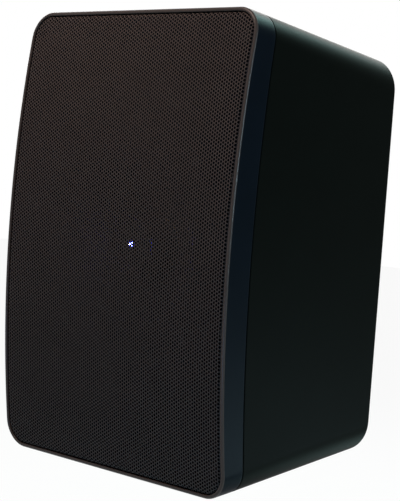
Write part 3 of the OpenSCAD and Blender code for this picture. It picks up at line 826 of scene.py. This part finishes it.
def foam(name, colour):
    """Closed cells."""
    m = Nodes(name)
    bubbles = m.cells(1400)
    return m.set(colour=m.ramp(bubbles, shades(colour, 0.7, 1.3)), rough=0.95, specular=0.1,
                 normal=m.bump(bubbles, 0.7, 0.0002))


def pulp(name, colour):
    """Coated paper with short fibres."""
    m = Nodes(name)
    fibres = m.noise(500, 8, 0.7)
    blotch = m.noise(60, 3)
    return m.set(colour=m.ramp(fibres, shades(colour, 0.75, 1.25)), specular=0.03,
                 rough=m.spread(blotch, 0.62, 0.82), normal=m.bump(fibres, 0.5, 0.0002))


def winding(name, colour):
    """Enamelled wire in close turns."""
    m = Nodes(name)
    turns = m.waves(1.0, "Y", 0.0, m.mapped((700, 700, 700)))
    return m.set(colour=m.ramp(turns, shades(colour, 0.45, 1.15)), metal=0.9, rough=0.3, coat=0.4,
                 normal=m.bump(turns, 0.8, 0.0001))


def circuit(name, colour):
    """Solder resist over tracks."""
    m = Nodes(name)
    tracks = m.cells(160, m.mapped((1, 0.01, 1)))
    return m.set(colour=m.ramp(tracks, [(0.05, tuple(c * 1.8 for c in colour)), (0.12, colour)]),
                 rough=0.35, coat=0.3, normal=m.bump(tracks, 0.3, 0.00005))


def fibre(name, colour):
    """Loose or pressed strands."""
    m = Nodes(name)
    strands = m.noise(260, 10, 0.8, m.mapped((1, 3, 1)))
    return m.set(colour=m.ramp(strands, shades(colour, 0.6, 1.1)), rough=0.95, sheen=0.5,
                 specular=0.1, normal=m.bump(strands, 0.9, 0.0008))


def lamp(name, colour, strength):
    """Lens of a lit diode on the driver axis, white at its middle and tinted towards its edge."""
    m = Nodes(name)
    cloud = m.noise(900, 2)
    centred = m.tree.nodes.new("ShaderNodeMapping")
    centred.inputs["Location"].default_value = (0, 0, -DRIVER_Z * MM)
    m.link(m.coords, centred.inputs["Vector"])
    across = m.tree.nodes.new("ShaderNodeVectorMath")
    across.operation = "MULTIPLY"
    across.inputs[1].default_value = (600, 0, 600)
    m.link(centred.outputs["Vector"], across.inputs[0])
    radius = m.tree.nodes.new("ShaderNodeVectorMath")
    radius.operation = "LENGTH"
    m.link(across.outputs["Vector"], radius.inputs[0])
    glow = m.ramp(radius.outputs["Value"], [(0.2, (1.0, 1.0, 1.0)), (0.5, colour)])
    return m.set(colour=m.ramp(cloud, shades((0.7, 0.8, 1.0), 0.9, 1.0)), rough=0.15, glow=strength,
                 glow_colour=glow)


def finishes():
    """One material for each slot of the record, and those of the rim and the walls of the holes.
    The rim's is a lighter, warm copy of the front plastic that paints a highlight on the bead and
    paints light over its shaded inner wall; that of the walls is a darker copy of the grille paint
    that paints shade in the holes.
    """
    table = {
        "cabinet_plastic": (moulded, (0.0020, 0.0026, 0.0020),
                            dict(rough=0.40, grain=800, specular=0.006, depth=0.00005, cloud=0.08)),
        "front_plastic": (moulded, (0.0022, 0.0040, 0.0066),
                          dict(rough=0.34, specular=0.008, depth=0.00003, cloud=0.08)),
        # Painted highlight: the rim bead and its inner wall belong to the front moulding. They take
        # this lighter, warm copy of its plastic, which stands in for the lit bead and lifts the
        # shade on the inner wall.
        "rim": (moulded, (0.040, 0.028, 0.024),
                dict(rough=0.22, specular=0.18, depth=0.00001, cloud=0.05)),
        "grille_steel": (moulded, (0.074, 0.063, 0.060),
                         dict(rough=0.5, grain=1500, specular=0.012, depth=0.00002, cloud=0.04)),
        # Painted shade: the walls of the holes are the grille's own painted steel, made several
        # times darker to stand for the shade inside the holes.
        "hole_walls": (moulded, (0.012, 0.011, 0.012),
                       dict(rough=0.6, grain=1500, specular=0.005, depth=0.00002)),
        "foam": (foam, (0.02, 0.02, 0.021), {}),
        "screw_steel": (metal, (0.06, 0.06, 0.062), dict(rough=0.4)),
        "basket_metal": (moulded, (0.010, 0.010, 0.011),
                         dict(rough=0.5, grain=700, specular=0.03, depth=0.00008)),
        "trim_plastic": (moulded, (0.008, 0.008, 0.009),
                         dict(rough=0.4, grain=1000, specular=0.04, depth=0.00003)),
        "surround_rubber": (rubber, (0.012, 0.012, 0.013), {}),
        "cone_paper": (pulp, (0.020, 0.018, 0.017), {}),
        "spider_cloth": (cloth, (0.42, 0.31, 0.15), {}),
        "former_film": (metal, (0.45, 0.31, 0.12), dict(rough=0.4, metallic=0.1)),
        "copper_wire": (winding, (0.60, 0.27, 0.12), {}),
        "motor_steel": (metal, (0.40, 0.41, 0.43), dict(rough=0.36, brushed=(1, 8, 1))),
        "ferrite": (moulded, (0.03, 0.03, 0.033),
                    dict(rough=0.6, grain=600, specular=0.4, depth=0.00015)),
        "magnet_plating": (metal, (0.62, 0.63, 0.66), dict(rough=0.18)),
        "strip_board": (fibre, (0.16, 0.09, 0.04), {}),
        "post_steel": (metal, (0.40, 0.41, 0.43), dict(rough=0.3, brushed=(1, 12, 1))),
        "dome_cloth": (cloth, (0.010, 0.010, 0.011), dict(thread=0.0003, rough=0.55)),
        "led_lens": (lamp, (0.04, 0.05, 1.0), dict(strength=120.0)),
        "insert_brass": (metal, (0.62, 0.46, 0.20), dict(rough=0.28, brushed=(1, 9, 1))),
        "socket_plastic": (moulded, (0.02, 0.021, 0.022),
                           dict(rough=0.22, grain=1200, specular=0.5, depth=0.00002)),
        "block_plastic": (moulded, (0.03, 0.12, 0.055),
                          dict(rough=0.4, grain=1100, specular=0.5, depth=0.00003)),
        "circuit_board": (circuit, (0.02, 0.11, 0.05), {}),
        "capacitor_sleeve": (moulded, (0.02, 0.024, 0.04),
                             dict(rough=0.25, grain=300, specular=0.5)),
        "transformer_core": (metal, (0.10, 0.105, 0.11),
                             dict(rough=0.45, brushed=(1, 30, 1), metallic=0.7)),
        "heat_aluminium": (metal, (0.60, 0.61, 0.62), dict(rough=0.3, brushed=(1, 1, 10))),
        "plug_plastic": (moulded, (0.62, 0.58, 0.48), dict(specular=0.5, depth=0.00003)),
        "lead_sheath": (rubber, (0.012, 0.012, 0.012), dict(rough=0.5)),
        "wool": (fibre, (0.62, 0.61, 0.58), {}),
    }
    return {name: make(name, colour, **values) for name, (make, colour, values) in table.items()}


def apply_finishes(made):
    """Paints the solids and the drawn pieces by their slots, then the two special ones: the rim
    with a painted highlight and the walls of the holes with painted shade.
    """
    for entry in frame["record"]["subparts"]:
        obj = frame["nodes"][entry["node"]]
        paint(obj, made[entry["material_slot"]])
        obj.data.shade_smooth()
        obj.data.set_sharp_from_angle(angle=math.radians(SHARP))
    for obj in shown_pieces():
        if obj.type == "MESH" and "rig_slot" in obj:
            paint(obj, made[obj["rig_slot"]])
    # The rim takes the lighter copy of the front plastic: a painted highlight on the bead and
    # painted light over the shaded inner wall.
    paint(bpy.data.objects["front_rim"], made["rim"])
    # The walls of the holes take a darker copy of the grille paint, which is painted shade in the
    # holes.
    paint(bpy.data.objects["grille_hole_walls"], made["hole_walls"])


def paint(obj, material):
    """Gives every face of an object one material."""
    if not obj.material_slots:
        obj.data.materials.append(material)
    for held in obj.material_slots:
        held.material = material


# Stage

def stage():
    """Pale floor and white surroundings."""
    half, drop = 6.0, 0.28
    low = cad_bounds[0].z - drop
    mesh = bpy.data.meshes.new("floor")
    corners = [(-half, -half, low), (half, -half, low), (half, half, low), (-half, half, low)]
    mesh.from_pydata(corners, [], [(0, 1, 2, 3)])
    floor = bpy.data.objects.new("floor", mesh)
    bpy.context.scene.collection.objects.link(floor)
    m = Nodes("floor")
    speck = m.noise(12, 3)
    m.set(colour=m.ramp(speck, shades((0.55, 0.55, 0.55), 0.99, 1.01)), rough=0.8, specular=0.2)
    white_to_camera(m.tree, m.shader.outputs["BSDF"], m.out)
    mesh.materials.append(m.material)

    world = bpy.data.worlds.new("surroundings")
    bpy.context.scene.world = world
    world.use_nodes = True
    tree = world.node_tree
    tree.nodes.clear()
    out = tree.nodes.new("ShaderNodeOutputWorld")
    dim = tree.nodes.new("ShaderNodeBackground")
    dim.inputs["Color"].default_value = (0.85, 0.93, 1.0, 1)
    dim.inputs["Strength"].default_value = 0.02
    seen = tree.nodes.new("ShaderNodeBackground")
    seen.inputs["Color"].default_value = (1, 1, 1, 1)
    seen.inputs["Strength"].default_value = 1.0
    mix = tree.nodes.new("ShaderNodeMixShader")
    tree.links.new(seen_directly(tree), mix.inputs["Fac"])
    tree.links.new(dim.outputs["Background"], mix.inputs[1])
    tree.links.new(seen.outputs["Background"], mix.inputs[2])
    tree.links.new(mix.outputs["Shader"], out.inputs["Surface"])


def seen_directly(tree):
    """1 for camera, glossy and transmitted rays."""
    path = tree.nodes.new("ShaderNodeLightPath")
    total = None
    for name in ("Is Camera Ray", "Is Glossy Ray", "Is Transmission Ray"):
        socket = path.outputs[name]
        if total is None:
            total = socket
            continue
        node = tree.nodes.new("ShaderNodeMath")
        node.operation = "MAXIMUM"
        tree.links.new(total, node.inputs[0])
        tree.links.new(socket, node.inputs[1])
        total = node.outputs["Value"]
    return total


def white_to_camera(tree, shaded, out):
    """Lifts the floor towards white where the camera sees it, and keeps its shadows."""
    share = 0.94
    glow = tree.nodes.new("ShaderNodeEmission")
    glow.inputs["Color"].default_value = (1, 1, 1, 1)
    glow.inputs["Strength"].default_value = 1.0
    mix = tree.nodes.new("ShaderNodeMixShader")
    part = tree.nodes.new("ShaderNodeMath")
    part.operation = "MULTIPLY"
    part.inputs[1].default_value = share
    tree.links.new(seen_directly(tree), part.inputs[0])
    tree.links.new(part.outputs["Value"], mix.inputs["Fac"])
    tree.links.new(shaded, mix.inputs[1])
    tree.links.new(glow.outputs["Emission"], mix.inputs[2])
    tree.links.new(mix.outputs["Shader"], out.inputs["Surface"])


# Name, place, target, width and height in metres, watts, colour
LAMPS = [
    ("key", (-0.05, -0.40, 0.47), (0, -0.15, 0.06), (0.3, 0.2), 2.0, (1.0, 0.77, 0.65)),
    ("fill", (0.35, -1.0, -0.28), (0, -0.15, -0.1), (0.6, 0.2), 1.25, (0.28, 0.55, 1.0)),
    ("over", (0.15, 1.1, 1.15), (0.05, 0, 0.12), (1.0, 0.5), 32, (0.55, 1.0, 0.93)),
    ("under", (0.15, 0.38, -0.40), (0.06, -0.05, -0.12), (0.4, 0.2), 1.0, (0.60, 1.0, 0.97)),
    ("low", (0.95, 1.10, -0.44), (0.1, -0.1, -0.12), (0.3, 0.1), 23.0, (0.66, 0.93, 1.0)),
    ("edge", (1.3, -0.15, 0.16), (0.1, -0.15, 0.05), (0.06, 0.35), 7, (0.50, 0.80, 1.0)),
    ("rear", (-0.7, 1.5, 0.9), (0, 0, 0), (1.0, 1.0), 16, (1.0, 0.98, 0.95)),
    ("left", (-1.5, 0.45, 0.5), (-0.1, -0.05, 0), (0.8, 0.8), 10, (1.0, 0.98, 0.95)),
]


def lights():
    """Soft rectangular lamps, each aimed at its target."""
    for name, place, target, size, power, colour in LAMPS:
        data = bpy.data.lights.new(name, "AREA")
        data.shape = "RECTANGLE"
        data.size, data.size_y = size
        data.energy = power
        data.color = colour
        obj = bpy.data.objects.new(name, data)
        obj.location = place
        aim = Vector(target) - Vector(place)
        obj.rotation_euler = aim.to_track_quat("-Z", "Y").to_euler()
        bpy.context.scene.collection.objects.link(obj)


def camera():
    """Camera in front and to the right, at the height of the upper half of the speaker."""
    data = bpy.data.cameras.new("camera")
    data.sensor_width = 36.0
    data.sensor_fit = "AUTO"
    data.lens = 108.5
    obj = bpy.data.objects.new("camera", data)
    obj.location = (0.6819, -0.77058, 0.04864)
    obj.rotation_euler = [math.radians(a) for a in (86.8871, -4.1981, 44.5839)]
    bpy.context.scene.collection.objects.link(obj)
    bpy.context.scene.camera = obj


def main():
    camera()
    front_moulding()
    rear_moulding()
    grille()
    surround()
    spider()
    dome()
    wool()
    socket_contacts()
    block_screws()
    apply_finishes(finishes())
    stage()
    lights()
    bpy.context.scene.view_settings.view_transform = "Standard"


main()
